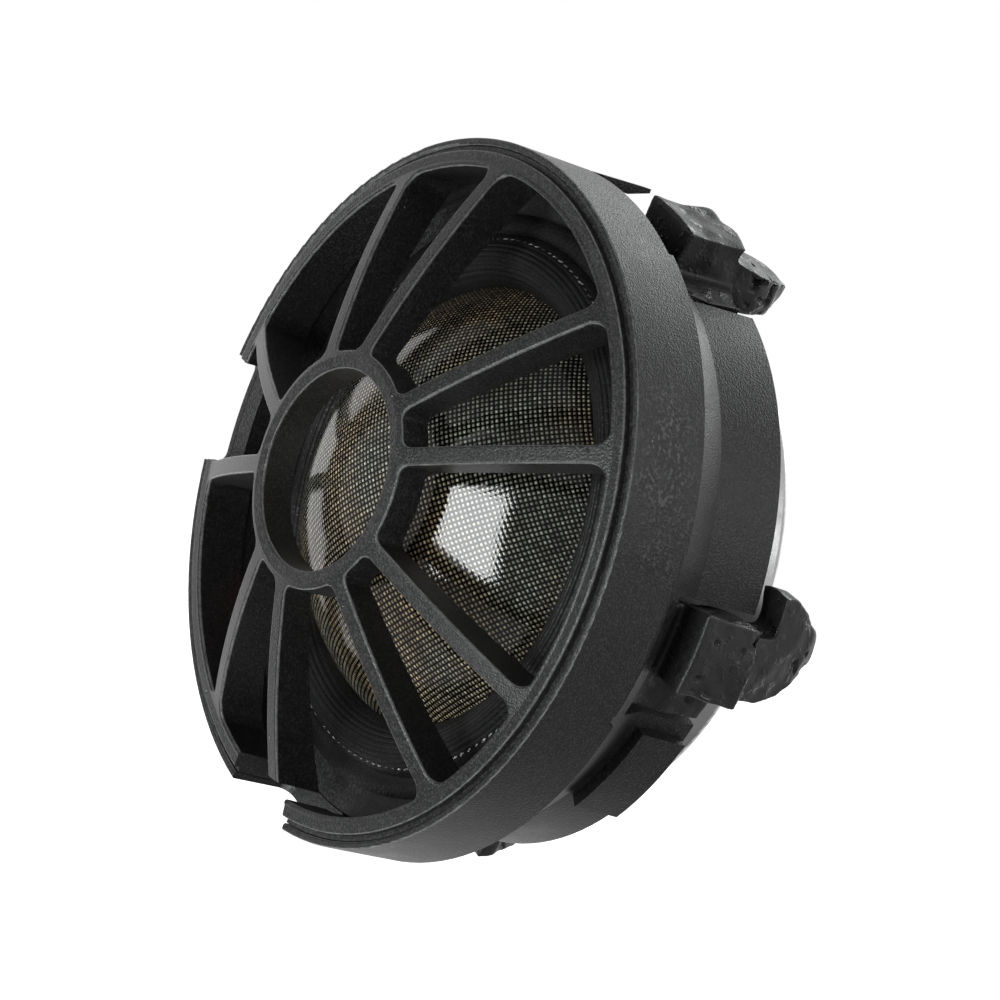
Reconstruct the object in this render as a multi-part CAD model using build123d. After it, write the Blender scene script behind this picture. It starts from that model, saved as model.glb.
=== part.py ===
"""Flush-mount car tweeter with a domed ten-spoke grille, about 42 mm across.

Built with its axis along Z and its face towards +Z, then turned so that the face looks along -Y with
+Z up. In the helpers, r is the distance from the tweeter's axis and s is the height along it, with
s = 0 on the plane of the face ring. Angles around the axis are in degrees, clockwise as seen by a
listener, from the right-hand side. The finished origin is on the axis, in the plane of the seat
behind the collar.
"""
from build123d import *
from math import cos, radians, sin
import os

os.makedirs("parts", exist_ok=True)

# ---------------------------------------------------------------- driving dimensions, mm and degrees
face_r = 21.0                    # outside radius of the collar at the face
seat_s = -5.4                    # the collar's back shoulder, which rests on the panel

# grille
ring_in_r, ring_out_r = 19.2, 20.2
ring_depth = 2.9
ring_foot_r, groove_depth = 20.5, 0.45   # the ring widens behind a shallow groove and fills the lip
hub_in_r, hub_out_r = 5.95, 7.05
hub_s, hub_depth = 5.65, 2.1     # the grille domes forward to the hub
spoke_w = 1.1
spoke_bulge = 0.38               # rise of a spoke's front above its own chord
narrow_centres = [43.5 + 72 * i for i in range(5)]
narrow_half = 13.3               # from the middle of a narrow opening to the spokes beside it
rim_corner, hub_corner = 0.85, 0.6
edge_round = 0.16
kink, face_rise = 0.35, 0.1       # the dome runs a little way onto the ring and onto the hub
notches = [(185.3, 1.8), (107.4, 4.4)]   # middle of each rim notch, and its depth
notch_span, notch_in_r, notch_corner = 18.0, 18.5, 0.8

# housing
lip_in_r, lip_drop = 20.55, 0.3
collar_back_r, shoulder_in_r = 20.78, 20.0
body_r, taper_s = 18.2, -8.75
body_back_s, low_back_s = -13.15, -12.6
low_back_from, low_back_to = 27.0, 97.0
well_r, well_s = 19.3, -5.6      # the well that holds the diaphragm
web_in_r, web_back_s = 14.3, -6.6
motor_bore_r = 15.35
pad_r, pad_from, pad_to, pad_front_s, pad_back_s = 18.9, 31.0, 51.5, -9.2, -12.3
key_r, key_from, key_to, key_tip_s = 20.75, -91.0, -84.5, -9.9
duct_angle, duct_half, duct_r = 150.0, 12.0, 18.0
duct_hole_r, lead_spread = 0.45, 6.0
key_t, key_lead, key_slope = 0.65, 0.25, 1.5

# snap latches
latch_centres = [-66.5, 16.25, 113.5, 196.25]
latch_half, slot_gap = 10.4, 1.1
hinge_r, hinge_s, knuckle_r, hinge_gap = 17.75, -7.0, 0.85, 0.06
arm_in_r, arm_out_r, arm_root_r = 17.0, 18.35, 18.6
root_bevel_r, root_bevel_s = 0.5, 0.3   # lets the arm's inner front corner clear the housing as it flexes
hook_r, hook_half, catch_s, crest_s = 20.9, 3.5, -8.1, -12.4
tail_r, tail_end_r, tip_s = 20.0, 18.9, -18.1
tail_front_s = -14.0             # the tail widens behind the housing's back edge
tail_neck = 9.6                  # and stays narrower than the arm in front of it
wing_angle = 17.5                # how far the tail reaches sideways from the arm's middle
relief = 0.35                    # step in the shoulder above each hook
tail_end_cut, tail_foot_out, tail_foot_up = 0.9, 0.5, 0.6   # sloping corners at the end of the tail
clear_in_r, clear_out_r, clear_back_s = 14.0, 22.0, -20.0   # reach of the tools that cut the housing

# motor
cup_r, cup_back_s, cup_floor, lip_r = 15.3, -16.3, 2.8, 13.45
cup_top_s = web_back_s
cup_round, magnet_break = 0.5, 0.25
magnet_r = 11.8
plate_r, plate_t = 12.45, 2.2
pad_disc_r, pad_disc_t = 10.5, 1.6

# diaphragm
dome_r, dome_base_s, dome_h, dome_t = 13.0, -4.0, 7.5, 0.25
former_r, former_t, former_back_s = 12.75, 0.12, -8.9
coil_t, coil_top_s, coil_back_s = 0.28, -6.6, -8.8
roll_in_r, roll_out_r, roll_h, roll_t = 13.1, 16.0, 1.15, 0.25
flange_r = 17.3
frame_t = 1.0
frame_r = 19.2
gasket_in_r, gasket_out_r = 16.6, 18.9
flange_s = dome_base_s - 0.05    # front of the surround's flange, just behind the dome's edge
frame_s = flange_s - roll_t      # front of the diaphragm's frame

# terminals and crossover
board_in_r, board_out_r, board_w, board_t = 8.6, 14.4, 13.0, 1.6
tab_len, tab_t = 6.4, 0.5
tab_wide, tab_narrow = 4.8, 2.8
tab_place = 3.6
tab_root, tab_shift, tab_tip_cut = 2.8, 0.4, 0.7
dimple_r, dimple_in = 0.6, 1.8    # the hole that a push-on receptacle clicks into
tag_len, tag_w = 2.4, 2.6
rivet_r, rivet_head_r, rivet_head_t = 0.75, 1.15, 0.3
rivet_in, rivet_edge = 1.6, 1.5   # rivets' distances from the board's inner and outer edges
board_corner = 0.8
blob_r, blob_t, wire_into_blob = 0.65, 0.4, 0.35
wire_r = 0.3
capacitor_r, capacitor_len = 2.5, 10.5
capacitor_x, capacitor_y = -4.5, 6.5
can_round = 0.5
lead_out, lead_down, lead_bend = 1.6, 6.0, 0.6


# ---------------------------------------------------------------- helpers
def outline(*points):
    """A closed flat face from (r, s) corners."""
    return Plane.XZ * make_face(Polyline(*points, close=True))


def turned(*points):
    """The solid swept by an (r, s) outline around the whole axis."""
    return revolve(outline(*points), Axis.Z, 360)


def turned_part(start, end, *points):
    """The solid swept by an (r, s) outline between two angles."""
    return Rot(0, 0, -end) * revolve(outline(*points), Axis.Z, end - start)


def ring(r_in, r_out, back, front):
    """A plain ring or, with r_in = 0, a disc."""
    body = Pos(0, 0, back) * Cylinder(r_out, front - back, align=(Align.CENTER, Align.CENTER, Align.MIN))
    if r_in:
        body -= Pos(0, 0, back) * Cylinder(r_in, front - back, align=(Align.CENTER, Align.CENTER, Align.MIN))
    return body


def at(angle):
    """The turn that carries the +X direction to this angle."""
    return Rot(0, 0, -angle)


def bowed(start, end, bulge):
    """An arc in the (r, s) plane from start to end that rises by bulge at its middle."""
    dr, ds = end[0] - start[0], end[1] - start[1]
    length = (dr * dr + ds * ds) ** 0.5
    middle = ((start[0] + end[0]) / 2 + bulge * abs(ds) / length,
              (start[1] + end[1]) / 2 + bulge * abs(dr) / length)
    return ThreePointArc(start, middle, end)


def wire(radius, *points, bend=1.0):
    """A round wire through the given places, bent to a radius at each corner."""
    path = FilletPolyline(*points, radius=bend)
    return sweep(Plane(path @ 0, z_dir=path % 0) * Circle(radius), path=path)


def finish(body):
    """Turns a body from the building frame to the finished one."""
    return Pos(0, seat_s, 0) * Rot(90, 0, 0) * body


# ---------------------------------------------------------------- grille
def notch(centre, depth):
    """The tool that cuts one rim notch, with round corners where its floor meets its ends."""
    reach = 3.0
    tool = turned_part(centre - notch_span / 2, centre + notch_span / 2,
                       (notch_in_r, -depth), (face_r + reach, -depth),
                       (face_r + reach, reach), (notch_in_r, reach))
    floor = tool.faces().sort_by(Axis.Z)[0]
    ends = floor.edges().filter_by(GeomType.LINE)
    return fillet(ends, notch_corner)


def openings():
    """The ten openings between the spokes, as flat faces with round corners."""
    plan = Circle(ring_in_r) - Circle(hub_out_r)
    for centre in narrow_centres:
        for side in (-1, 1):
            spoke = Pos(ring_in_r / 2, 0) * Rectangle(ring_in_r * 1.2, spoke_w)
            plan -= at(centre + side * narrow_half) * spoke
    return [rounded(rounded(face, rim_corner, True), hub_corner, False) for face in plan.faces()]


def rounded(face, radius, at_rim):
    """The same opening with the corners at its rim end, or at its hub end, rounded."""
    middle_r = (ring_in_r + hub_out_r) / 2
    return face.fillet_2d(radius, [v for v in face.vertices() if (Vector(v).length > middle_r) == at_rim])


def front_arc():
    """The domed front of the spokes, in the (r, s) plane."""
    return bowed((hub_out_r - kink, hub_s), (ring_in_r + kink, face_rise), spoke_bulge)


def grille_shell():
    """The domed grille before its openings are cut."""
    back = bowed((ring_in_r, -ring_depth), (hub_out_r, hub_s - hub_depth + 0.1), spoke_bulge)
    rim = Polyline((ring_in_r + kink, face_rise), (ring_out_r, 0), (ring_out_r, -groove_depth),
                   (ring_foot_r, -groove_depth), (ring_foot_r, -ring_depth), (ring_in_r, -ring_depth))
    hub = Polyline((hub_out_r, hub_s - hub_depth + 0.1), (hub_in_r, hub_s - hub_depth),
                   (hub_in_r, hub_s), (hub_out_r - kink, hub_s))
    shell = revolve(Plane.XZ * make_face([front_arc(), rim, back, hub]), Axis.Z, 360)
    rims = [edge for edge in shell.edges().filter_by(GeomType.CIRCLE)
            if abs(edge.radius - ring_out_r) < 0.01 and edge.center().Z > -0.1
            or abs(edge.radius - hub_in_r) < 0.01 and edge.center().Z > hub_s - 0.1]
    return fillet(rims, edge_round)


def mouth(body, face):
    """The edges of the grille's front around one opening."""
    chosen = []
    for edge in body.edges():
        middle = edge @ 0.5
        plan = Vector(middle.X, middle.Y, 0)
        on_front = front_arc().distance_to(Vector(plan.length, middle.Z, 0)) < 0.005
        if on_front and face.outer_wire().distance_to(plan) < 0.001:
            chosen.append(edge)
    return chosen


def grille():
    body = at(narrow_centres[0] - narrow_half) * grille_shell()
    depth = hub_s + ring_depth + 2
    for face in openings():
        body -= Pos(0, 0, -ring_depth - 1) * extrude(face, depth + 1)
        body = fillet(mouth(body, face), edge_round)
    for centre, notch_depth in notches:
        body -= notch(centre, notch_depth)
    return body


# ---------------------------------------------------------------- housing and latches
def hinge_line(radius, half_width):
    """A round bar along a latch's hinge, for a latch on the +X side."""
    return Pos(hinge_r, 0, hinge_s) * Rot(90, 0, 0) * Cylinder(radius, 2 * half_width)


def half_width(angle, radius=hinge_r):
    return radius * sin(radians(angle))


def latch_window():
    """The space that the housing leaves for a latch on the +X side."""
    wide = latch_half + slot_gap
    window = turned_part(-wide, wide, (clear_in_r, clear_back_s), (clear_out_r, clear_back_s),
                         (clear_out_r, hinge_s), (clear_in_r, hinge_s))
    return window + hinge_line(knuckle_r + hinge_gap, half_width(wide))


def tail_plan():
    """The tail seen from outside: a skewed tongue that narrows to a round tip, as (angle, s) corners."""
    corners = [(-tail_neck, catch_s), (-tail_neck, tail_front_s), (-wing_angle, tail_front_s),
               (-wing_angle, tail_front_s - 0.9), (-15.2, -16.3), (-12.2, -17.5), (-8.6, tip_s),
               (-5.0, tip_s), (-1.2, -17.4), (1.8, -16.2), (hook_half, -14.6), (hook_half, catch_s)]
    flat = Plane.YZ * make_face(Polyline(*[(-half_width(a, body_r), s) for a, s in corners], close=True))
    return Pos(arm_in_r - 2, 0, 0) * extrude(flat, 8)


def latch():
    """One snap latch on the +X side: a thin arm from the hinge, a hook, and a sloping tail behind it."""
    arm = turned_part(-latch_half, latch_half,
                      (arm_in_r, hinge_s - root_bevel_s), (arm_in_r + root_bevel_r, hinge_s),
                      (arm_root_r, hinge_s), (arm_out_r, catch_s),
                      (arm_out_r, low_back_s), (arm_in_r, low_back_s))
    hook = turned_part(-latch_half, hook_half,
                       (arm_in_r, catch_s), (hook_r, catch_s), (hook_r, crest_s), (arm_in_r, crest_s))
    tail = turned_part(-wing_angle, hook_half,
                       (arm_in_r, crest_s), (tail_r, crest_s), (tail_end_r, tip_s + tail_end_cut),
                       (tail_end_r - tail_end_cut, tip_s), (arm_in_r + tail_foot_out, tip_s),
                       (arm_in_r, tip_s + tail_foot_up))
    return arm + hook + (tail & tail_plan()) + hinge_line(knuckle_r, half_width(latch_half))


def housing():
    body = turned((lip_in_r, -lip_drop), (face_r, -lip_drop), (collar_back_r, seat_s), (shoulder_in_r, seat_s),
                  (body_r, taper_s), (body_r, body_back_s), (motor_bore_r, body_back_s),
                  (motor_bore_r, web_back_s), (web_in_r, web_back_s), (web_in_r, well_s),
                  (well_r, well_s), (well_r, -ring_depth), (lip_in_r, -ring_depth))
    lips = [e for e in body.edges().filter_by(GeomType.CIRCLE) if e.center().Z > -lip_drop - 0.01]
    body = fillet(lips, edge_round)
    body += turned_part(pad_from, pad_to, (motor_bore_r, pad_front_s), (pad_r, pad_front_s),
                        (pad_r, pad_back_s), (motor_bore_r, pad_back_s))
    body += turned_part(duct_angle - duct_half, duct_angle + duct_half,
                        (motor_bore_r + 1, hinge_s), (pad_r, hinge_s), (pad_r, body_back_s),
                        (motor_bore_r + 1, body_back_s))
    body += turned_part(key_from, key_to, (key_r - key_t, seat_s), (key_r, seat_s), (key_r, key_tip_s),
                        (key_r - key_lead, key_tip_s), (key_r - key_t, key_tip_s + key_slope))
    body -= turned_part(low_back_from, low_back_to, (clear_in_r, clear_back_s), (clear_out_r, clear_back_s),
                        (clear_out_r, low_back_s), (clear_in_r, low_back_s))
    for centre in latch_centres:
        body -= at(centre) * latch_window()
        body -= turned_part(centre - wing_angle - 1, centre + latch_half + slot_gap,
                            (shoulder_in_r - 0.4, seat_s - 1), (clear_out_r, seat_s - 1),
                            (clear_out_r, seat_s + relief), (shoulder_in_r - 0.4, seat_s + relief))
    for side in (-1, 1):
        body -= at(duct_angle + side * lead_spread) * Pos(duct_r, 0, -10) * Cylinder(duct_hole_r, 16)
    for centre, depth in notches:
        body -= notch(centre, depth)
    return body


# ---------------------------------------------------------------- motor
def yoke_cup():
    """A turned steel cup with its rear edge rounded."""
    cup = turned((0, cup_back_s), (cup_r, cup_back_s), (cup_r, cup_top_s), (lip_r, cup_top_s),
                 (lip_r, cup_back_s + cup_floor), (0, cup_back_s + cup_floor))
    edge = cup.edges().filter_by(GeomType.CIRCLE).sort_by(Axis.Z)[0]
    return fillet(edge, cup_round)


def magnet():
    disc = ring(0, magnet_r, cup_back_s + cup_floor, cup_top_s - plate_t)
    return chamfer(disc.edges().filter_by(GeomType.CIRCLE), magnet_break)


def pole_plate():
    return ring(0, plate_r, cup_top_s - plate_t, cup_top_s)


def damping_pad():
    return ring(0, pad_disc_r, cup_top_s, cup_top_s + pad_disc_t)


# ---------------------------------------------------------------- diaphragm
def dome():
    """A thin spherical cap."""
    outer_r = (dome_r ** 2 + dome_h ** 2) / (2 * dome_h)
    centre_s = dome_base_s + dome_h - outer_r
    shell = Pos(0, 0, centre_s) * (Sphere(outer_r) - Sphere(outer_r - dome_t))
    return shell & ring(0, dome_r + 1, dome_base_s, dome_base_s + dome_h + 1)


def surround():
    """A half-roll between the dome and its frame, with a flat flange outside it."""
    top, foot = flange_s, frame_s
    middle = (roll_in_r + roll_out_r) / 2
    section = make_face([
        ThreePointArc((roll_in_r, foot), (middle, top + roll_h), (roll_out_r, top)),
        Polyline((roll_out_r, top), (flange_r, top), (flange_r, foot), (roll_out_r - 0.2, foot)),
        ThreePointArc((roll_out_r - 0.2, foot), (middle, top + roll_h - roll_t), (roll_in_r + roll_t, foot)),
        Line((roll_in_r + roll_t, foot), (roll_in_r, foot)),
    ])
    return revolve(Plane.XZ * section, Axis.Z, 360)


def lead_holes():
    """The two holes that the lead-out wires pass through."""
    return [at(duct_angle + side * lead_spread) * Pos(duct_r, 0, -5) * Cylinder(duct_hole_r, 4) for side in (-1, 1)]


def diaphragm_frame():
    body = ring(roll_out_r - 0.1, frame_r, frame_s - frame_t, frame_s)
    for hole in lead_holes():
        body -= hole
    return body


def gasket():
    body = ring(gasket_in_r, gasket_out_r, well_s, frame_s - frame_t)
    for hole in lead_holes():
        body -= hole
    return body


def voice_coil_former():
    return ring(former_r, former_r + former_t, former_back_s, dome_base_s)


def voice_coil():
    return ring(former_r + former_t, former_r + former_t + coil_t, coil_back_s, coil_top_s)


# ---------------------------------------------------------------- terminals and crossover
def on_back(body):
    """Places a body built on the +X side at the terminal board's angle."""
    return at(duct_angle) * body


def board_middle():
    return (board_in_r + board_out_r) / 2


def rivet_places():
    """Local (x, y) of the three rivets: positive tab, negative tab and junction tag."""
    return [(board_in_r + rivet_in, -tab_place), (board_in_r + rivet_in, tab_place),
            (board_out_r - rivet_edge, -tab_place)]


def terminal_board():
    plate = Pos(board_middle(), 0, cup_back_s) * Box(
        board_out_r - board_in_r, board_w, board_t, align=(Align.CENTER, Align.CENTER, Align.MAX))
    plate = fillet(plate.edges().filter_by(Axis.Z), board_corner)
    for x, y in rivet_places():
        plate -= Pos(x, y, cup_back_s) * Cylinder(rivet_r, 2 * board_t)
    return on_back(plate)


def tab(width, y):
    """A flat push-on tab that lies along the board and points towards the axis."""
    back = cup_back_s - board_t
    start, end = board_in_r + tab_root, board_in_r + tab_shift - tab_len
    blade = Pos((start + end) / 2, y, back) * Box(
        start - end, width, tab_t, align=(Align.CENTER, Align.CENTER, Align.MAX))
    tip = blade.edges().filter_by(Axis.Z).group_by(Axis.X)[0]
    blade = chamfer(tip, tab_tip_cut)
    blade -= Pos(end + dimple_in, y, back) * Cylinder(dimple_r, 4 * tab_t)
    blade -= Pos(board_in_r + rivet_in, y, back) * Cylinder(rivet_r, 4 * tab_t)
    return on_back(blade)


def junction_tag():
    back = cup_back_s - board_t
    x, y = rivet_places()[2]
    plate = Pos(x, y, back) * Box(tag_len, tag_w, tab_t, align=(Align.CENTER, Align.CENTER, Align.MAX))
    return on_back(plate - Pos(x, y, back) * Cylinder(rivet_r, 4 * tab_t))


def rivets():
    """Three eyelet rivets that clench the tabs to the board."""
    solids = []
    for x, y in rivet_places():
        shank = Pos(x, y, cup_back_s) * Cylinder(
            rivet_r, board_t + tab_t, align=(Align.CENTER, Align.CENTER, Align.MAX))
        head = Pos(x, y, cup_back_s - board_t - tab_t) * Cylinder(
            rivet_head_r, rivet_head_t, align=(Align.CENTER, Align.CENTER, Align.MAX))
        solids.append(on_back(shank + head))
    return Compound(children=solids)


def lead_wire(side):
    """A lead-out wire, from the board outwards and then forward through the housing to the frame."""
    row = cup_back_s - board_t / 2
    bend_x, bend_y = duct_r * cos(radians(lead_spread)), side * duct_r * sin(radians(lead_spread))
    strand = wire(wire_r, (board_out_r, bend_y, row), (bend_x, bend_y, row), (bend_x, bend_y, frame_s + wire_into_blob))
    blob = Pos(bend_x, bend_y, frame_s) * Cylinder(blob_r, blob_t, align=(Align.CENTER, Align.CENTER, Align.MIN))
    return on_back(strand + blob)


def capacitor():
    """A small non-polar can that lies on the back of the cup."""
    can = Pos(capacitor_x, capacitor_y, cup_back_s - capacitor_r) * Rot(0, 90, 0) * Cylinder(
        capacitor_r, capacitor_len)
    return fillet(can.edges().filter_by(GeomType.CIRCLE), can_round)


def local_on_back(x, y, s):
    """A place given on the terminal board, in the building frame."""
    turn = radians(-duct_angle)
    return (x * cos(turn) - y * sin(turn), x * sin(turn) + y * cos(turn), s)


def capacitor_lead(rivet, end):
    """A tinned wire from one end of the can to a rivet on the board."""
    row = cup_back_s - capacitor_r
    face = capacitor_x + end * capacitor_len / 2
    foot_s = cup_back_s - board_t - tab_t - rivet_head_t - wire_r
    x, y = rivet_places()[rivet]
    return wire(wire_r, (face, capacitor_y, row), (face + end * lead_out, capacitor_y, row),
                (face + end * lead_out, capacitor_y - lead_down, row), local_on_back(x, y, foot_s),
                bend=lead_bend)


# ---------------------------------------------------------------- all the pieces
pieces = {
    "grille": grille(),
    "housing": housing(),
    "yoke_cup": yoke_cup(),
    "magnet": magnet(),
    "pole_plate": pole_plate(),
    "damping_pad": damping_pad(),
    "dome": dome(),
    "surround": surround(),
    "diaphragm_frame": diaphragm_frame(),
    "gasket": gasket(),
    "voice_coil_former": voice_coil_former(),
    "voice_coil": voice_coil(),
    "terminal_board": terminal_board(),
    "terminal_positive": tab(tab_wide, -tab_place),
    "terminal_negative": tab(tab_narrow, tab_place),
    "junction_tag": junction_tag(),
    "terminal_rivets": rivets(),
    "lead_wire_positive": lead_wire(-1),
    "lead_wire_negative": lead_wire(1),
    "capacitor": capacitor(),
    "capacitor_lead_in": capacitor_lead(0, 1),
    "capacitor_lead_out": capacitor_lead(2, -1),
}
for name, centre in zip(("upper", "near", "lower", "far"), latch_centres):
    pieces["latch_" + name] = at(centre) * latch()

for name, body in pieces.items():
    export_step(finish(body), "parts/" + name + ".step")
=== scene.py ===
"""Looks for the car tweeter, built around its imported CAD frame.

The tweeter's axis lies along Y and its face looks along -Y, with +Z up. In the helpers, r is the
distance from that axis, depth is the place along +Y, and angles go clockwise from +X as a listener
sees them. Lengths in the helpers are in millimetres and become metres when a mesh is made.
"""
import math

import bmesh
import bpy
import numpy as np
from mathutils import Matrix, Vector, noise


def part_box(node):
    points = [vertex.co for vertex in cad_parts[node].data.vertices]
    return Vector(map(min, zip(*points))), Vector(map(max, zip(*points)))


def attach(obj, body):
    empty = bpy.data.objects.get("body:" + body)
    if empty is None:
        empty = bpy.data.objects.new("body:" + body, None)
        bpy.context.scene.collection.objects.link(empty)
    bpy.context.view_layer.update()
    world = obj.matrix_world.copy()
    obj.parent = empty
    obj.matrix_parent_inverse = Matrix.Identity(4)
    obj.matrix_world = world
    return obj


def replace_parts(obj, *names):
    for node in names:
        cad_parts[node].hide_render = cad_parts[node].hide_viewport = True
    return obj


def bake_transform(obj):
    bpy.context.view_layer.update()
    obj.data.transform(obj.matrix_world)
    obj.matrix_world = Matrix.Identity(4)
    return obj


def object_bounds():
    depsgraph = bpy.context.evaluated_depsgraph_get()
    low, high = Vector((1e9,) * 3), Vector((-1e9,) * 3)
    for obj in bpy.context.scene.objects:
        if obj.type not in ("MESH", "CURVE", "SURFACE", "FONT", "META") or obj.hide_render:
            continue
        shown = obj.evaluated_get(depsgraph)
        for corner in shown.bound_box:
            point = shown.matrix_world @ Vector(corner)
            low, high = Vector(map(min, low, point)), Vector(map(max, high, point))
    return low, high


MM = 0.001
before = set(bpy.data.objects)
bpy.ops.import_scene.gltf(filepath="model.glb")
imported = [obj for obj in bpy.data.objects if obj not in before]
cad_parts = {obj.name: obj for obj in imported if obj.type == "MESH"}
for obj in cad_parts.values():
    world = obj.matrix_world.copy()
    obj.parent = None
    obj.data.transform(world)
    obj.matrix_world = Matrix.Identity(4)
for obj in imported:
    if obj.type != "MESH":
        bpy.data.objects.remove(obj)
cad_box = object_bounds()


# ---------------------------------------------------------------- sizes read from the frame, mm
def corners(node):
    low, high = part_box(node)
    return np.array(low) / MM, np.array(high) / MM


dome_low, dome_high = corners("dome")
surround_low, surround_high = corners("surround")
can_low, can_high = corners("capacitor")

DOME_R = dome_high[0]
DOME_FRONT, DOME_BACK = dome_low[1], dome_high[1]
DOME_H = DOME_BACK - DOME_FRONT
CURVE_R = (DOME_R ** 2 + DOME_H ** 2) / (2 * DOME_H)
CURVE_MIDDLE = DOME_FRONT + CURVE_R

WEAVE_TURN = math.radians(32)          # the threads' direction on the dome
WEAVE_U, WEAVE_V = 0.28, 0.32          # thread pitches
THREAD_LIFT = 0.006                    # how far a thread stands above the gaps
THREAD_HALF = 0.47                     # half a thread's width, as a share of the pitch
MESH_PER_THREAD = 4                    # mesh cells along a thread's pitch
RIM_GAP = 0.02                         # from the cloth's edge to the surround

FLANGE_W = 1.3                         # the surround's flat flange
FLANGE_SKIN = 0.25                     # from the surround's back to the front of its flange
ROLL_ROWS, ROLL_RIDGES, RIDGE_LIFT = 61, 11, 0.05
ROLL_STEPS = 360                       # mesh steps round the surround
CLOTH_T = 0.12                         # the surround's thickness
CORD_ROW = 52                          # the row of the surround's profile that carries its cut edge
CORD_R, CORD_TWISTS, CORD_SUNK = 0.11, 150, 0.02
TURNS_PER_MM = 7.0                     # the voice coil's wire

PATCH_PLACE = (20.2, -2.5, 5.5)        # middle of the speckled patch on the collar
PATCH_SPREAD = (0.16, 0.34, 0.13)      # how fast it fades along X, Y and Z


# ---------------------------------------------------------------- shader helpers
class Shader:
    """A node material under construction. Coordinates come in millimetres, in the object's frame."""

    def __init__(self, name, **inputs):
        self.material = bpy.data.materials.new(name)
        self.material.use_nodes = True
        self.tree = self.material.node_tree
        self.surface = self.tree.nodes["Principled BSDF"]
        for key, value in inputs.items():
            self.surface.inputs[key.replace("_", " ")].default_value = value
        position = self.node("ShaderNodeTexCoord").outputs["Object"]
        self.mm = self.vector("SCALE", position, scale=1 / MM)

    def node(self, kind, **settings):
        made = self.tree.nodes.new(kind)
        for key, value in settings.items():
            setattr(made, key, value)
        return made

    def put(self, socket, value):
        if isinstance(value, bpy.types.NodeSocket):
            self.tree.links.new(value, socket)
        elif value is not None:
            socket.default_value = value

    def vector(self, operation, a, b=None, scale=None):
        made = self.node("ShaderNodeVectorMath", operation=operation)
        self.put(made.inputs[0], a)
        if b is not None:
            self.put(made.inputs[1], b)
        if scale is not None:
            self.put(made.inputs["Scale"], scale)
        return made.outputs["Value" if operation in ("LENGTH", "DOT_PRODUCT") else "Vector"]

    def math(self, operation, a, b=None, clamp=False):
        made = self.node("ShaderNodeMath", operation=operation, use_clamp=clamp)
        for socket, value in zip(made.inputs, (a, b)):
            self.put(socket, value)
        return made.outputs[0]

    def axes(self, vector):
        """The X, Y and Z parts of a vector."""
        split = self.node("ShaderNodeSeparateXYZ")
        self.put(split.inputs[0], vector)
        return split.outputs

    def noise(self, scale, detail=3.0, roughness=0.6, place=None):
        made = self.node("ShaderNodeTexNoise")
        self.put(made.inputs["Vector"], self.mm if place is None else place)
        for key, value in (("Scale", scale), ("Detail", detail), ("Roughness", roughness)):
            made.inputs[key].default_value = value
        return made.outputs["Fac"]

    def cells(self, scale):
        made = self.node("ShaderNodeTexVoronoi")
        self.put(made.inputs["Vector"], self.mm)
        made.inputs["Scale"].default_value = scale
        return made

    def span(self, value, low, high, to_low=0.0, to_high=1.0):
        """A value's stretch from low to high, carried to another stretch, and held at its ends."""
        made = self.node("ShaderNodeMapRange")
        for socket, v in zip(made.inputs, (value, low, high, to_low, to_high)):
            self.put(socket, v)
        return made.outputs[0]

    def mix(self, factor, a, b):
        made = self.node("ShaderNodeMix", data_type="RGBA")
        self.put(made.inputs["Factor"], factor)
        colours = [s for s in made.inputs if s.type == "RGBA"]
        self.put(colours[0], a)
        self.put(colours[1], b)
        return next(s for s in made.outputs if s.type == "RGBA")

    def bump(self, height, depth_mm):
        made = self.node("ShaderNodeBump")
        made.inputs["Strength"].default_value = 1.0
        made.inputs["Distance"].default_value = depth_mm * MM
        self.put(made.inputs["Height"], height)
        return made.outputs["Normal"]

    def edges(self, radius_mm):
        """1 along the object's sharp edges, 0 on its flats."""
        bevel = self.node("ShaderNodeBevel", samples=4)
        bevel.inputs["Radius"].default_value = radius_mm * MM
        normal = self.node("ShaderNodeNewGeometry").outputs["Normal"]
        turned = self.vector("DOT_PRODUCT", bevel.outputs["Normal"], normal)
        return self.span(self.math("SUBTRACT", 1.0, turned), 0.02, 0.25)

    def rim_light(self):
        """1 on the rounded edges between a face that looks along -Y and a wall that runs along Y."""
        normal = self.node("ShaderNodeTexCoord").outputs["Normal"]
        facing = self.math("MULTIPLY", self.axes(normal)["Y"], -1.0)
        return self.math("MULTIPLY", self.span(facing, 0.12, 0.35), self.span(facing, 0.84, 0.70))

    def set(self, **values):
        for key, value in values.items():
            self.put(self.surface.inputs[key.replace("_", " ")], value)
        return self.material


def grey(level, warmth=0.0):
    return (level * (1 + warmth), level, level * (1 - warmth), 1.0)


# ---------------------------------------------------------------- materials
def specks(s, body, scale, level):
    """A few pale dust specks on a plastic."""
    found = s.cells(scale)
    near = s.math("LESS_THAN", found.outputs["Distance"], 0.05)
    rare = s.math("GREATER_THAN", s.vector("DOT_PRODUCT", found.outputs["Color"], (1, 0, 0)), 0.93)
    return s.mix(s.math("MULTIPLY", near, rare), body, grey(level))


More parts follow.
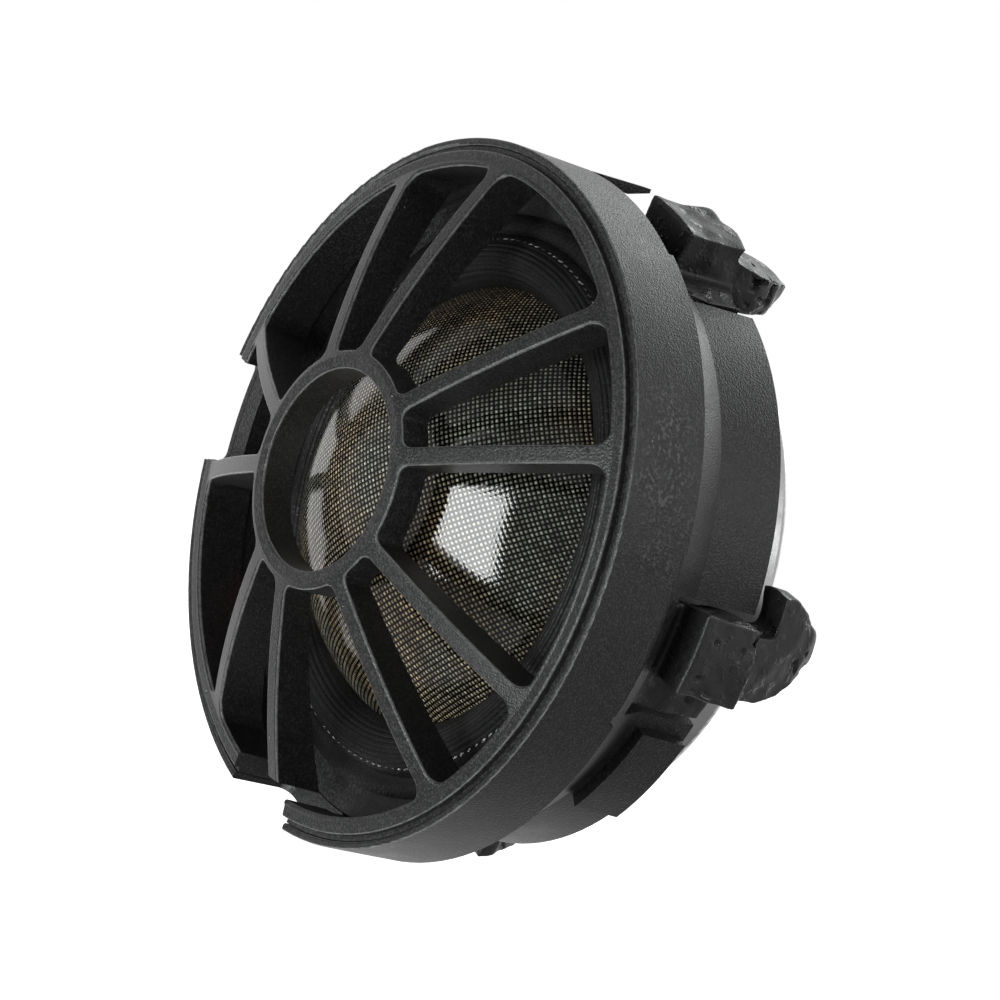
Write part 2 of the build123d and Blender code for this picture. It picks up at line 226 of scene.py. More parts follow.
def moulded_plastic(name, dark, light, grain_scale, grain_depth, roughness):
    """Black moulded plastic: fine sparkling grain, broad cloudiness, polished edges and dust specks.
    The polished edges also carry a painted highlight.
    """
    s = Shader(name)
    fine = s.noise(grain_scale, 1.5, 0.5)
    rim_highlight_and_polish = s.math("MULTIPLY", s.rim_light(), s.span(s.noise(1.6), 0.35, 0.65, 0.45, 1.0))
    body = s.mix(s.span(s.noise(0.25, 3.0), 0.35, 0.65), grey(dark), grey(light))
    body = s.mix(s.span(fine, 0.48, 0.66, 0.0, 0.85), body, grey(light * 3.2))
    # Painted highlight: the rounded front edges are made far paler than the plastic, as well as smoother.
    body = s.mix(s.math("MULTIPLY", rim_highlight_and_polish, 0.8), body, grey(light * 13.0))
    body = specks(s, body, 1.1, 0.35)
    rough = s.math("SUBTRACT", s.span(fine, 0.3, 0.7, roughness - 0.05, roughness + 0.08),
                   s.math("MULTIPLY", rim_highlight_and_polish, 0.14))
    return s.set(Base_Color=body, Roughness=rough, Normal=s.bump(fine, grain_depth), Specular_IOR_Level=0.55)


def patchy_plastic(name, dark, light):
    """The housing's plastic: the same moulding, with a speckled patch on the near side of the collar."""
    s = Shader(name)
    fine = s.noise(8.0, 1.5, 0.5)
    offset = s.vector("SUBTRACT", s.mm, PATCH_PLACE)
    spread = s.vector("LENGTH", s.vector("MULTIPLY", offset, PATCH_SPREAD))
    patch = s.math("SUBTRACT", s.span(spread, 0.25, 1.25, 1.0, 0.0),
                   s.span(s.noise(0.45, 2.0), 0.4, 0.7, 0.0, 0.6), clamp=True)
    coarse = s.noise(4.2, 1.5, 0.5)
    rim_highlight_and_polish = s.math("MULTIPLY", s.rim_light(), s.span(s.noise(1.3), 0.35, 0.65, 0.4, 1.0))
    smear = s.span(s.noise(0.35, 4.0, 0.65), 0.48, 0.72)
    body = s.mix(s.span(s.noise(0.22, 3.0), 0.35, 0.65), grey(dark), grey(light))
    body = s.mix(s.span(fine, 0.48, 0.66, 0.0, 0.85), body, grey(light * 3.2))
    body = s.mix(s.math("MULTIPLY", patch, s.span(coarse, 0.55, 0.62)), body, grey(light * 7.0))
    body = s.mix(s.math("MULTIPLY", patch, s.span(coarse, 0.44, 0.38, 0.0, 0.8)), body, grey(dark * 0.2))
    # Painted highlight: the rounded front edges are made far paler than the plastic, as well as smoother.
    body = s.mix(s.math("MULTIPLY", rim_highlight_and_polish, 0.8), body, grey(light * 13.0))
    body = specks(s, body, 0.9, 0.32)
    height = s.math("ADD", fine, s.math("MULTIPLY", s.math("MULTIPLY", coarse, patch), 1.2))
    rough = s.math("SUBTRACT", s.span(fine, 0.3, 0.7, 0.34, 0.46), s.math("MULTIPLY", smear, 0.08))
    rough = s.math("SUBTRACT", rough, s.math("MULTIPLY", rim_highlight_and_polish, 0.12))
    return s.set(Base_Color=body, Roughness=rough, Normal=s.bump(height, 0.045), Specular_IOR_Level=0.5)


def chipped_plastic():
    """The latches: knocked plastic, matt on its flats and shiny in its bruises."""
    s = Shader("chipped_plastic")
    lumps = s.noise(1.7, 3.0, 0.6)
    bruise = s.span(s.noise(1.1, 2.0), 0.54, 0.64)
    body = s.mix(s.span(lumps, 0.3, 0.7), grey(0.011), grey(0.021))
    # Paler along the edges: partly wear, partly a painted highlight.
    body = s.mix(s.math("MULTIPLY", s.edges(0.25), 0.6), body, grey(0.11))
    rough = s.span(bruise, 0.0, 1.0, 0.48, 0.12)
    grain = s.math("MULTIPLY", s.noise(7.0, 1.5), 0.5)
    height = s.math("ADD", s.math("MULTIPLY", lumps, bruise), grain)
    return s.set(Base_Color=body, Roughness=rough, Normal=s.bump(height, 0.05), Specular_IOR_Level=0.6)


def weave_places(s):
    """Thread coordinates of a point on the dome, one unit to a thread, by arc length from its crown."""
    place = s.axes(s.mm)
    x, z = place["X"], place["Z"]
    out = s.math("SQRT", s.math("ADD", s.math("MULTIPLY", x, x), s.math("MULTIPLY", z, z)))
    share = s.math("DIVIDE", s.math("MINIMUM", out, CURVE_R * 0.999), CURVE_R)
    arc = s.math("MULTIPLY", s.math("ARCSINE", share), CURVE_R)
    stretch = s.math("DIVIDE", arc, s.math("MAXIMUM", out, 0.001))
    c, n = math.cos(WEAVE_TURN), math.sin(WEAVE_TURN)
    along = s.math("ADD", s.math("MULTIPLY", x, c), s.math("MULTIPLY", z, n))
    across = s.math("SUBTRACT", s.math("MULTIPLY", z, c), s.math("MULTIPLY", x, n))
    return (s.math("DIVIDE", s.math("MULTIPLY", along, stretch), WEAVE_U),
            s.math("DIVIDE", s.math("MULTIPLY", across, stretch), WEAVE_V))


def coated_weave():
    """Plain-woven cloth under a clear coating: beige thread crowns, near-black gaps and a wet gloss."""
    s = Shader("coated_weave")
    u, v = weave_places(s)
    near_u = s.math("PINGPONG", s.math("SUBTRACT", u, 0.5), 0.5)
    near_v = s.math("PINGPONG", s.math("SUBTRACT", v, 0.5), 0.5)
    crown = s.math("MULTIPLY", s.span(near_u, 0.36, 0.08), s.span(near_v, 0.38, 0.10))
    row = s.math("PINGPONG", s.math("FLOOR", v), 1.0)
    column = s.math("PINGPONG", s.math("FLOOR", u), 1.0)
    over = s.math("ABSOLUTE", s.math("SUBTRACT", row, column))
    patch = s.noise(0.11, 2.0)
    warm = s.mix(s.span(patch, 0.4, 0.62), (0.80, 0.62, 0.36, 1), (0.66, 0.72, 0.58, 1))
    thread = s.mix(s.span(s.noise(2.6, 2.0), 0.4, 0.62), s.mix(0.75, warm, grey(0.02)), warm)
    thread = s.mix(s.math("MULTIPLY", over, 0.45), thread, s.mix(0.7, thread, grey(0.012)))
    body = s.mix(crown, (0.002, 0.0016, 0.001, 1), thread)
    coat = s.bump(s.math("ADD", crown, s.math("MULTIPLY", s.noise(0.9, 2.0), 0.5)), 0.0012)
    return s.set(Base_Color=body, Roughness=0.3, Coat_Weight=s.span(crown, 0.0, 0.5, 0.55, 1.0),
                 Coat_Roughness=0.035, Coat_IOR=2.0, Coat_Normal=coat, Normal=s.bump(crown, 0.06),
                 Specular_IOR_Level=s.span(crown, 0.0, 0.6, 0.0, 0.8))


def surround_cloth():
    """Doped black cloth: matt between threads, with a dull sheen."""
    s = Shader("surround_cloth")
    threads = s.cells(5.0).outputs["Distance"]
    body = s.mix(s.noise(1.2), grey(0.003), grey(0.009))
    body = s.mix(s.math("MULTIPLY", s.edges(0.1), 0.5), body, grey(0.06))
    return s.set(Base_Color=body, Roughness=s.span(threads, 0.0, 0.6, 0.32, 0.6),
                 Normal=s.bump(threads, 0.03), Specular_IOR_Level=0.35)


def cut_edge_cord():
    """The cloth's frayed, glued edge, a shade lighter than the cloth."""
    s = Shader("cut_edge_cord")
    body = s.mix(s.span(s.noise(3.0), 0.42, 0.6), grey(0.05), grey(0.5))
    return s.set(Base_Color=body, Roughness=s.noise(4.0), Normal=s.bump(s.noise(9.0), 0.02))


def plated_steel(name, tint, turned):
    """Bright plating over turned or pressed steel, with fine tool marks and dull finger marks."""
    s = Shader(name, Metallic=1.0)
    flat = s.vector("MULTIPLY", s.mm, (1, 0, 1))
    out = s.vector("LENGTH", flat)
    rings = s.noise(7.0, 3.0, 0.7, place=s.vector("SCALE", (1, 1, 1), scale=out))
    marks = s.noise(0.6, 4.0)
    body = s.mix(s.span(marks, 0.35, 0.7), grey(tint), grey(tint * 0.72, 0.01))
    body = s.mix(s.math("MULTIPLY", s.edges(0.2), 0.5), body, grey(min(1.0, tint * 1.3)))
    height = s.math("ADD", s.math("MULTIPLY", rings, turned), s.math("MULTIPLY", s.noise(5.0), 0.2))
    return s.set(Base_Color=body, Roughness=s.span(marks, 0.3, 0.7, 0.2, 0.42), Normal=s.bump(height, 0.02))


def tinned(name, base, shine):
    """Tin-plated brass or copper: soft bright metal, brassy where it is rubbed or cut."""
    s = Shader(name, Metallic=1.0)
    worn = s.math("MULTIPLY", s.edges(0.1), s.span(s.noise(2.5), 0.4, 0.6))
    body = s.mix(s.span(s.noise(1.5, 4.0), 0.3, 0.7), grey(0.62, 0.02), grey(0.45, 0.03))
    body = s.mix(worn, body, base)
    return s.set(Base_Color=body, Roughness=s.span(s.noise(3.0), 0.3, 0.7, shine, shine + 0.2),
                 Normal=s.bump(s.noise(4.0), 0.012))


def laminate():
    """Brown paper-phenolic board: mottled, with fine fibres along it and a paler cut edge."""
    s = Shader("laminate")
    fibres = s.noise(3.0, 4.0, 0.7, place=s.vector("MULTIPLY", s.mm, (3.0, 1.0, 0.6)))
    body = s.mix(fibres, (0.105, 0.042, 0.014, 1), (0.235, 0.115, 0.045, 1))
    body = s.mix(s.edges(0.15), body, (0.36, 0.2, 0.09, 1))
    return s.set(Base_Color=body, Roughness=s.span(fibres, 0.3, 0.7, 0.3, 0.5), Normal=s.bump(fibres, 0.02))


def sleeve(name, colour, roughness):
    """Soft extruded or shrunk plastic skin with fine draw lines and scuffs."""
    s = Shader(name)
    lines = s.noise(4.0, 3.0, 0.6, place=s.vector("MULTIPLY", s.mm, (0.4, 1.6, 1.6)))
    dull = tuple(c * 0.6 for c in colour) + (1,)
    body = s.mix(s.span(lines, 0.35, 0.65), dull, colour + (1,))
    pale = tuple(min(1, c * 2.2 + 0.03) for c in colour) + (1,)
    body = s.mix(s.math("MULTIPLY", s.edges(0.12), 0.35), body, pale)
    return s.set(Base_Color=body, Roughness=s.span(lines, 0.3, 0.7, roughness, roughness + 0.18),
                 Normal=s.bump(lines, 0.012))


def fibrous(name, dark, light, scale):
    """Felt or foam: a tangle of short fibres or closed cells."""
    s = Shader(name)
    tangle = s.noise(scale, 5.0, 0.75)
    return s.set(Base_Color=s.mix(tangle, grey(dark), grey(light)), Roughness=0.95,
                 Normal=s.bump(tangle, 0.08), Sheen_Weight=0.4)


def fine_winding():
    """Enamelled wire seen as a stack of turns.
    Each turn carries a painted highlight across its middle and painted shade where it meets the next.
    """
    s = Shader("fine_winding", Metallic=1.0)
    turn = s.math("PINGPONG", s.math("MULTIPLY", s.axes(s.mm)["Y"], TURNS_PER_MM), 1.0)
    # Painted highlight across each turn's middle, painted shade between turns.
    body = s.mix(turn, (0.14, 0.05, 0.02, 1), (0.62, 0.27, 0.12, 1))
    return s.set(Base_Color=body, Roughness=0.3, Normal=s.bump(turn, 0.05))


def rolled_foil():
    s = Shader("rolled_foil", Metallic=1.0)
    drawn = s.noise(3.0, 3.0, 0.6, place=s.vector("MULTIPLY", s.mm, (1.0, 6.0, 1.0)))
    return s.set(Base_Color=s.mix(drawn, grey(0.55), grey(0.8)), Roughness=s.span(drawn, 0.3, 0.7, 0.22, 0.4),
                 Normal=s.bump(drawn, 0.01))


def solder():
    s = Shader("solder", Metallic=1.0)
    pool = s.noise(1.8, 3.0)
    return s.set(Base_Color=s.mix(pool, grey(0.42), grey(0.68)),
                 Roughness=s.span(pool, 0.35, 0.65, 0.14, 0.4), Normal=s.bump(pool, 0.05))


# ---------------------------------------------------------------- mesh helpers
def mesh_piece(name, points_mm, faces, material, body):
    """A smooth-shaded piece from points in millimetres, riding on a CAD body."""
    mesh = bpy.data.meshes.new(name)
    mesh.from_pydata([tuple(p) for p in np.asarray(points_mm) * MM], [], faces)
    mesh.validate()
    mesh.polygons.foreach_set("use_smooth", [True] * len(mesh.polygons))
    mesh.materials.append(material)
    piece = bpy.data.objects.new(name, mesh)
    bpy.context.scene.collection.objects.link(piece)
    tidy_normals(mesh)
    if body:
        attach(piece, body)
    return piece


def tidy_normals(mesh):
    work = bmesh.new()
    work.from_mesh(mesh)
    bmesh.ops.recalc_face_normals(work, faces=work.faces)
    work.to_mesh(mesh)
    work.free()


def turn_profile(profile, steps, wobble=None):
    """Points and faces of a (r, depth) profile turned round the Y axis, swelling as wobble says."""
    angles = np.linspace(0, 2 * math.pi, steps, endpoint=False)
    rows = len(profile)
    points = []
    for angle in angles:
        swell = wobble(angle) if wobble else 0.0
        for r, depth in profile:
            points.append(((r + swell) * math.cos(angle), depth, -(r + swell) * math.sin(angle)))
    faces = []
    for k in range(steps):
        following = (k + 1) % steps
        for i in range(rows - 1):
            faces.append((k * rows + i, k * rows + i + 1, following * rows + i + 1, following * rows + i))
    return points, faces


# ---------------------------------------------------------------- diaphragm
def thread_height(u, v):
    """Height of a plain weave at thread coordinates u and v, from 0 in the gaps to about 1."""
    du, dv = u - np.floor(u) - 0.5, v - np.floor(v) - 0.5
    over = (np.floor(u) + np.floor(v)) % 2
    warp = np.sqrt(np.clip(1 - (du / THREAD_HALF) ** 2, 0, 1)) * (0.55 + 0.45 * np.cos(math.pi * dv))
    weft = np.sqrt(np.clip(1 - (dv / THREAD_HALF) ** 2, 0, 1)) * (0.55 + 0.45 * np.cos(math.pi * du))
    return np.where(over > 0.5, np.maximum(warp, 0.6 * weft), np.maximum(weft, 0.6 * warp))


def on_dome(along, across, lift=0.0):
    """Points of the dome from arc lengths along and across the threads."""
    arc = np.hypot(along, across)
    turn = np.arctan2(across, along) + WEAVE_TURN
    lean = arc / CURVE_R
    r = (CURVE_R + lift) * np.sin(lean)
    return np.stack([r * np.cos(turn), CURVE_MIDDLE - (CURVE_R + lift) * np.cos(lean), r * np.sin(turn)], -1)


def woven_dome(material):
    """The dome's skin: a sheet on the threads' own grid, lifted at every thread."""
    steps = MESH_PER_THREAD
    edge_arc = CURVE_R * math.asin(DOME_R / CURVE_R)
    if DOME_H > CURVE_R:
        edge_arc = CURVE_R * math.pi - edge_arc
    rim = edge_arc - RIM_GAP
    nu, nv = int(rim / (WEAVE_U / steps)) + 1, int(rim / (WEAVE_V / steps)) + 1
    u = (np.arange(-nu, nu + 1)) / steps
    v = (np.arange(-nv, nv + 1)) / steps
    grid_u, grid_v = np.meshgrid(u, v, indexing="ij")
    along, across = grid_u * WEAVE_U, grid_v * WEAVE_V
    arc = np.hypot(along, across)
    pull = np.where(arc > rim, rim / np.maximum(arc, 1e-6), 1.0)
    lift = (thread_height(grid_u, grid_v) - 1.0) * THREAD_LIFT
    points = on_dome(along * pull, across * pull, lift).reshape(-1, 3)
    inside = (arc < rim + 0.5 * WEAVE_V / steps)
    rows, columns = grid_u.shape
    index = np.arange(rows * columns).reshape(rows, columns)
    whole = inside[:-1, :-1] | inside[1:, :-1] | inside[:-1, 1:] | inside[1:, 1:]
    a, b, c, d = index[:-1, :-1], index[1:, :-1], index[1:, 1:], index[:-1, 1:]
    faces = np.stack([a[whole], b[whole], c[whole], d[whole]], -1)
    used = np.unique(faces)
    renumber = np.zeros(rows * columns, int)
    renumber[used] = np.arange(len(used))
    piece = mesh_piece("dome_woven_skin", points[used], renumber[faces].tolist(), material,
                       "diaphragm")
    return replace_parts(piece, "dome")


def surround_profile():
    """The half-roll with its fine ridges, from the dome's edge out to its flange, as (r, depth)."""
    roll_in, roll_out = DOME_R + RIM_GAP, surround_high[0] - FLANGE_W
    foot = surround_high[1] - FLANGE_SKIN
    height = foot - surround_low[1]
    profile = []
    for t in np.linspace(0, 1, ROLL_ROWS):
        rise = math.sin(math.pi * t) ** 0.8 * height
        ridge = RIDGE_LIFT * math.sin(2 * math.pi * t * ROLL_RIDGES) * math.sin(math.pi * t)
        profile.append((roll_in + t * (roll_out - roll_in), foot - rise - ridge))
    profile += [(roll_out + 0.4, foot - 0.02), (surround_high[0], foot)]
    return profile


def pressed_surround(material):
    """The surround, whose inner edge meets the dome and whose flange lies on the frame."""
    profile = surround_profile()
    points, faces = turn_profile(profile, ROLL_STEPS)
    piece = mesh_piece("surround_roll", points, faces, material, None)
    thick = piece.modifiers.new("thickness", "SOLIDIFY")
    thick.thickness = CLOTH_T * MM
    thick.offset = 1.0
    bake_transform(piece)
    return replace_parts(piece, "surround")


def frayed_cord(name, r, depth, thick, twists, material, body):
    """A thin twisted cord laid in a circle: the cloth's glued, cut edge."""
    around = 12
    steps = twists * 6
    points, faces = [], []
    for k in range(steps):
        angle = 2 * math.pi * k / steps
        for i in range(around):
            roll = 2 * math.pi * i / around
            swell = thick * (1 + 0.28 * math.sin(2 * roll + twists * angle) + 0.1 * math.sin(37 * angle))
            rr, dd = r + swell * math.cos(roll), depth - swell * math.sin(roll)
            points.append((rr * math.cos(angle), dd, -rr * math.sin(angle)))
    for k in range(steps):
        n = (k + 1) % steps
        for i in range(around):
            j = (i + 1) % around
            faces.append((k * around + i, k * around + j, n * around + j, n * around + i))
    return mesh_piece(name, points, faces, material, body)


# ---------------------------------------------------------------- latches
LATCH_VOXEL = 0.12                     # mesh size of a latch before it is worn, mm
LATCH_ROUNDING = 9                     # smoothing passes that soften its corners
LATCH_ROOT = 2.7                       # depth behind which a latch is worn
LATCH_FADE = 1.5                       # distance behind the root over which the wear sets in


def evened(node):
    """A CAD node's shape on an even mesh with softened corners."""
    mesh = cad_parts[node].data.copy()
    piece = bpy.data.objects.new(node + "_moulded", mesh)
    bpy.context.scene.collection.objects.link(piece)
    remesh = piece.modifiers.new("even", "REMESH")
    remesh.mode = "VOXEL"
    remesh.voxel_size = LATCH_VOXEL * MM
    soften = piece.modifiers.new("soften", "SMOOTH")
    soften.iterations = LATCH_ROUNDING
    shaped = bpy.data.meshes.new_from_object(piece.evaluated_get(bpy.context.evaluated_depsgraph_get()))
    piece.modifiers.clear()
    piece.data = shaped
    return piece, shaped


def wear(place):
    """How far a latch's skin is moved out at a place, in mm: soft swells, and a few deep narrow pits."""
    swell = noise.noise(place * 0.35) * 0.34 + noise.noise(place * 0.9) * 0.10
    where = noise.noise(place * 0.42 + Vector((4, 9, 2)))
    pitted = min(1.0, max(0.0, (where - 0.26) / 0.10))
    pit = max(0.0, noise.noise(place * 1.5 + Vector((7, 3, 5))) - 0.12) * 1.5
    return swell - pit * pitted - 0.10


def worn_latch(node, material):
    """A latch as it really is: soft corners, swells, and pits where it was knocked."""
    piece, shaped = evened(node)
    count = len(shaped.vertices)
    places, normals = np.zeros(count * 3), np.zeros(count * 3)
    shaped.vertices.foreach_get("co", places)
    shaped.vertex_normals.foreach_get("vector", normals)
    places, normals = places.reshape(-1, 3) / MM, normals.reshape(-1, 3)
    loose = np.clip((places[:, 1] - LATCH_ROOT) / LATCH_FADE, 0, 1)
    move = np.array([wear(Vector(p)) for p in places]) * loose
    shaped.vertices.foreach_set("co", ((places + normals * move[:, None]) * MM).ravel())
    shaped.polygons.foreach_set("use_smooth", [True] * len(shaped.polygons))
    shaped.materials.clear()
    shaped.materials.append(material)
    shaped.update()
    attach(piece, node + "_arm")
    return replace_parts(piece, node)


# ---------------------------------------------------------------- capacitor
LIP_SHARE = 0.72                       # the sleeve's curled-in lip, as a share of the can's radius
BEAD_IN, BEAD_DEPTH, BEAD_HALF = 2.0, 0.34, 0.62      # the bead: from the end, how deep, half its width


def capacitor_can(sleeve_material, metal):
    """The can lying along X: a shrunk sleeve that curls over both ends, a bead near one end and bare ends."""
    middle = (can_low + can_high) / 2
    radius, half = (can_high[1] - can_low[1]) / 2, (can_high[0] - can_low[0]) / 2
    lip = radius * LIP_SHARE
    bead = half - BEAD_IN
    profile = [(lip, -half + 0.02), (radius * 0.90, -half + 0.05), (radius * 0.985, -half + 0.35),
               (radius, -half + 0.9)]
    for x in np.linspace(-half + 1.2, half - 3.1, 9):
        profile.append((radius, x))
    for t in np.linspace(-1, 1, 11):
        profile.append((radius - BEAD_DEPTH * math.cos(t * math.pi / 2), bead + BEAD_HALF * t))
    profile += [(radius, half - 1.0), (radius * 0.985, half - 0.35), (radius * 0.90, half - 0.05),
                (lip, half - 0.02)]
    inner = [(lip, half - 0.18), (0.0, half - 0.14)]
    outer = [(0.0, -half + 0.12), (lip, -half + 0.14)]

    def lathe(name, rows, material):
        points, faces = turn_profile(rows, 72)
        placed = [(p[1] + middle[0], p[0] + middle[1], p[2] + middle[2]) for p in points]
        return mesh_piece(name, placed, faces, material, "frame")

    skin = lathe("capacitor_sleeve", profile, sleeve_material)
    lathe("capacitor_bung_end", inner, metal)
    lathe("capacitor_can_end", outer, metal)
    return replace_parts(skin, "capacitor")


# ---------------------------------------------------------------- solder
BOARD_ANGLE = 150                      # the terminal board's place round the cup, degrees
SOLDERED = [(10.2, -3.6), (12.9, -3.6)]   # rivets that take a capacitor lead, outwards and across, mm
SOLDER_R, SOLDER_H = 0.95, 0.8


def solder_joint(name, place, radius, height, material):
    """A small cone of solder with a concave flank, standing on the board's back."""
    rows = [(radius * (1 - t) ** 1.7 + 0.18 * (1 - t * t), t * height) for t in np.linspace(0, 1, 9)]

    def uneven(angle):
        return 0.05 * math.sin(3 * angle + 1.3 * place[0])

    points, faces = turn_profile(rows, 28, wobble=uneven)
    placed = [(p[0] + place[0], p[1] + place[1], p[2] + place[2]) for p in points]
    return mesh_piece(name, placed, faces, material, "frame")


def soldered_rivets(material):
    """Solder over the two rivets that carry the capacitor's leads."""
    turn = math.radians(BOARD_ANGLE)
    back = corners("terminal_rivets")[1][1]
    for number, (x, y) in enumerate(SOLDERED):
        place = (x * math.cos(turn) + y * math.sin(turn), back, -x * math.sin(turn) + y * math.cos(turn))
        solder_joint("solder_%d" % number, place, SOLDER_R, SOLDER_H, material)


# ---------------------------------------------------------------- dressing the CAD nodes
def dress(material, *nodes):
    for node in nodes:
        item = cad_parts[node]
        item.data.materials.clear()
        item.data.materials.append(material)


def dress_frame():
    grille = moulded_plastic("grille_plastic", 0.010, 0.015, 8.0, 0.04, 0.34)
    housing = patchy_plastic("housing_plastic", 0.010, 0.015)
    hidden = moulded_plastic("frame_plastic", 0.006, 0.010, 7.0, 0.015, 0.45)
    steel = plated_steel("plated_steel", 0.72, 0.8)
    nickel = plated_steel("nickel_plate", 0.66, 0.3)
    tin = tinned("tinned_brass", (0.62, 0.42, 0.16, 1), 0.18)
    wire = tinned("tinned_wire", (0.6, 0.33, 0.2, 1), 0.2)
    dress(grille, "grille")
    dress(housing, "housing")
    dress(hidden, "diaphragm_frame")
    dress(steel, "yoke_cup", "pole_plate")
    dress(nickel, "magnet")
    dress(tin, "terminal_positive", "terminal_negative", "junction_tag")
    dress(tinned("rivet_brass", (0.68, 0.45, 0.16, 1), 0.25), "terminal_rivets")
    dress(wire, "capacitor_lead_in", "capacitor_lead_out")
    dress(laminate(), "terminal_board")
    dress(sleeve("wire_sleeve_red", (0.42, 0.018, 0.014), 0.32), "lead_wire_positive")
    dress(sleeve("wire_sleeve_black", (0.018, 0.018, 0.02), 0.32), "lead_wire_negative")
    dress(fibrous("felt", 0.05, 0.17, 6.0), "damping_pad")
    dress(fibrous("foam", 0.02, 0.07, 9.0), "gasket")
    dress(rolled_foil(), "voice_coil_former")
    dress(fine_winding(), "voice_coil")
    return wire


# ---------------------------------------------------------------- studio
# The camera's place in metres, then the directions of its right, its top and its back.
CAMERA_PLACE = Vector((0.5144, -0.3693, 0.0010))
CAMERA_RIGHT = Vector((0.5635, 0.7818, 0.2669))
CAMERA_UP = Vector((-0.1561, -0.2165, 0.9637))
CAMERA_BACK = Vector((0.8113, -0.5847, 0.0))
LENS, SENSOR = 394.0, 36.0
SOFTBOX_COLOUR = (0.97, 0.99, 1.0)

# The room as seen in reflections: each patch's direction, where its edge starts and ends as the cosine of the
# angle from that direction, and its brightness.
ROOM = [
    ((-0.8113, 0.5847, 0.0), 0.56, 0.68, 0.85),   # the white backdrop behind the tweeter
    ((0, 0, -1), 0.55, 0.85, 0.15),               # floor
    ((0, 0, 1), 0.80, 1.0, 0.05),                 # ceiling
    ((-0.81, -0.58, 0.0), 0.4, 1.0, 0.24),        # left of the tweeter's face
    ((0.3, 0.9, 0.3), 0.2, 1.0, 0.5),             # behind the tweeter's back
    ((0.8, -0.6, 0.1), -1.0, 1.0, 0.12),          # dim light all round, from the camera's side
]

# Lights: name, azimuth and elevation in degrees, distance, width and height in metres, watts, mirrored.
LIGHTS = [
    ("face_softbox", 15, -9, 0.9, 0.48, 0.62, 6.0, True),
    ("upper_left_softbox", -45, 20, 1.0, 0.34, 0.34, 1.0, False),
    ("lower_left_softbox", -35, -42, 1.0, 0.4, 0.4, 9.0, False),
    ("top_softbox", 60, 78, 1.0, 0.5, 0.5, 1.2, False),
    ("right_softbox", 115, 22, 1.1, 0.4, 0.4, 1.5, True),
    ("back_softbox", 200, 35, 1.3, 0.9, 0.9, 5.0, True),
]


def camera():
    lens = bpy.data.cameras.new("camera")
    lens.lens, lens.sensor_width = LENS, SENSOR
    lens.clip_start, lens.clip_end = 0.01, 20
    eye = bpy.data.objects.new("camera", lens)
    turn = Matrix((CAMERA_RIGHT, CAMERA_UP, CAMERA_BACK)).transposed().to_4x4()
    eye.matrix_world = Matrix.Translation(CAMERA_PLACE) @ turn
    bpy.context.scene.collection.objects.link(eye)
    bpy.context.scene.camera = eye


def softbox(name, azimuth, elevation, distance, width, height, power, mirrored):
    """A rectangular light that faces the tweeter from a direction given in the frame.

    Only a mirrored one shows in reflections, so that the dome carries few, clear highlights.
    """
    a, e = math.radians(azimuth), math.radians(elevation)
    way = Vector((math.sin(a) * math.cos(e), -math.cos(a) * math.cos(e), math.sin(e)))
    lamp = bpy.data.lights.new(name, "AREA")
    lamp.shape, lamp.size, lamp.size_y, lamp.energy = "RECTANGLE", width, height, power
    lamp.color = SOFTBOX_COLOUR
    item = bpy.data.objects.new(name, lamp)
    item.location = way * distance
    item.rotation_euler = way.to_track_quat("Z", "Y").to_euler()
    item.visible_glossy = mirrored
    bpy.context.scene.collection.objects.link(item)


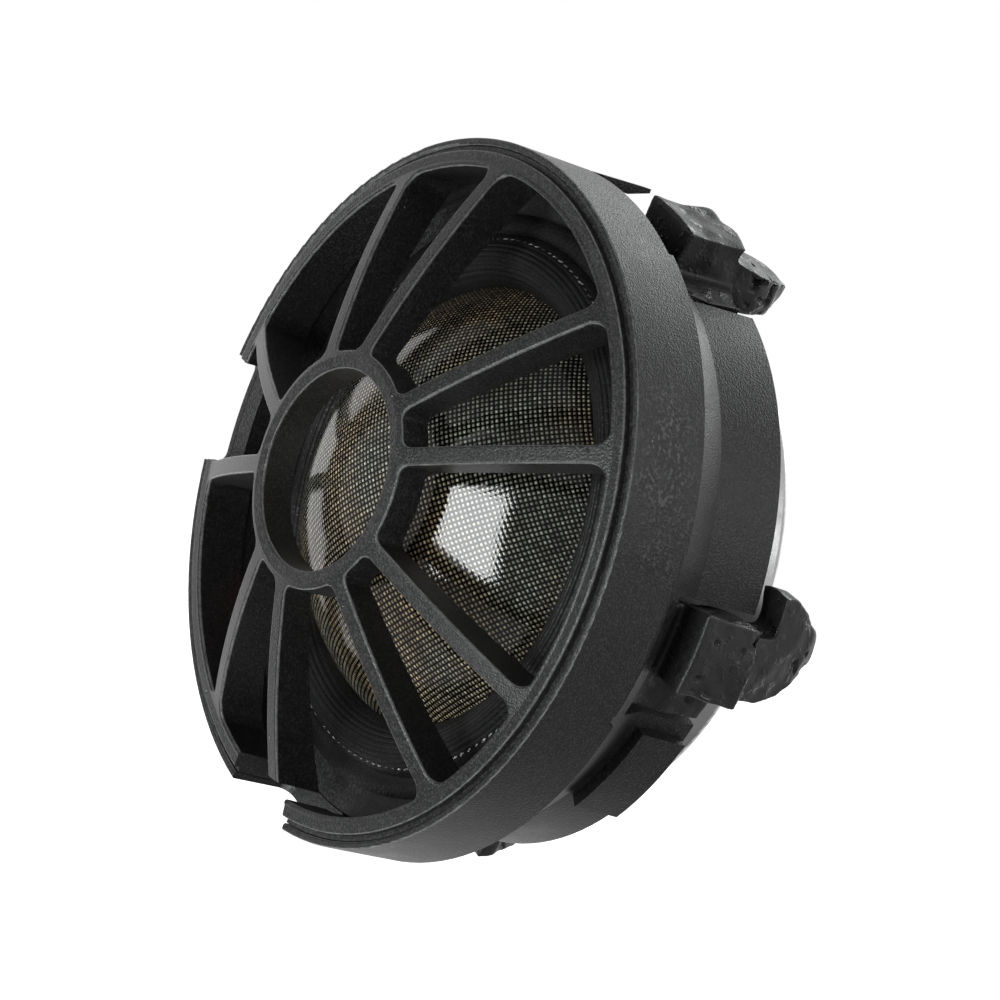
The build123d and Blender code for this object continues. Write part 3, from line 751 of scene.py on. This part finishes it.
def surroundings():
    """White to the camera. In reflections, a white backdrop behind the tweeter in an otherwise dim room."""
    world = bpy.data.worlds.new("studio")
    bpy.context.scene.world = world
    world.use_nodes = True
    tree = world.node_tree
    tree.nodes.clear()

    def node(kind, **settings):
        made = tree.nodes.new(kind)
        for key, value in settings.items():
            setattr(made, key, value)
        return made

    direction = node("ShaderNodeTexCoord").outputs["Generated"]

    def glow_towards(way, edge, full, level):
        """A soft-edged bright patch of the room, centred on a direction."""
        dot = node("ShaderNodeVectorMath", operation="DOT_PRODUCT")
        tree.links.new(direction, dot.inputs[0])
        dot.inputs[1].default_value = way
        fade = node("ShaderNodeMapRange", interpolation_type="SMOOTHSTEP")
        tree.links.new(dot.outputs["Value"], fade.inputs[0])
        for socket, value in zip(fade.inputs[1:5], (edge, full, 0.0, level)):
            socket.default_value = value
        return fade.outputs[0]

    total, *others = [glow_towards(*patch) for patch in ROOM]
    for patch in others:
        add = node("ShaderNodeMath", operation="ADD")
        tree.links.new(total, add.inputs[0])
        tree.links.new(patch, add.inputs[1])
        total = add.outputs[0]
    seen = node("ShaderNodeLightPath").outputs["Is Camera Ray"]
    pick = node("ShaderNodeMix", data_type="FLOAT")
    tree.links.new(seen, pick.inputs["Factor"])
    tree.links.new(total, pick.inputs[2])
    pick.inputs[3].default_value = 1.0
    glow = node("ShaderNodeBackground")
    glow.inputs["Color"].default_value = (1, 1, 1, 1)
    tree.links.new(pick.outputs[0], glow.inputs["Strength"])
    tree.links.new(glow.outputs[0], node("ShaderNodeOutputWorld").inputs[0])


def floor():
    """A plain pale floor just under the tweeter. The camera sees it nearly white, with a faint shadow."""
    mesh = bpy.data.meshes.new("floor")
    half, level = 3.0, cad_box[0].z - 0.0002
    mesh.from_pydata([(-half, -half, level), (half, -half, level), (half, half, level), (-half, half, level)],
                     [], [(0, 1, 2, 3)])
    item = bpy.data.objects.new("floor", mesh)
    bpy.context.scene.collection.objects.link(item)
    material = bpy.data.materials.new("floor")
    material.use_nodes = True
    surface = material.node_tree.nodes["Principled BSDF"]
    surface.inputs["Base Color"].default_value = (0.7, 0.7, 0.7, 1)
    surface.inputs["Roughness"].default_value = 0.9
    surface.inputs["Specular IOR Level"].default_value = 0.1
    surface.inputs["Emission Color"].default_value = (1, 1, 1, 1)
    links = material.node_tree.links
    seen = material.node_tree.nodes.new("ShaderNodeLightPath").outputs["Is Camera Ray"]
    links.new(seen, surface.inputs["Emission Strength"])
    mesh.materials.append(material)
    item.visible_glossy = item.visible_shadow = False    # lights below it stand in for its bounced light


def studio():
    surroundings()
    floor()
    for light in LIGHTS:
        softbox(*light)
    settings = bpy.context.scene.view_settings
    settings.view_transform, settings.look = "Standard", "None"


# ---------------------------------------------------------------- the tweeter
def tweeter():
    wire = dress_frame()
    woven_dome(coated_weave())
    pressed_surround(surround_cloth())
    edge = cut_edge_cord()
    cord_r, cord_depth = surround_profile()[CORD_ROW]
    frayed_cord("surround_cut_edge", cord_r, cord_depth - CORD_SUNK, CORD_R, CORD_TWISTS, edge, "frame")
    chipped = chipped_plastic()
    for side in ("upper", "near", "lower", "far"):
        worn_latch("latch_" + side, chipped)
    capacitor_can(sleeve("capacitor_sleeve", (0.02, 0.04, 0.15), 0.28), wire)
    soldered_rivets(solder())


tweeter()
camera()
studio()
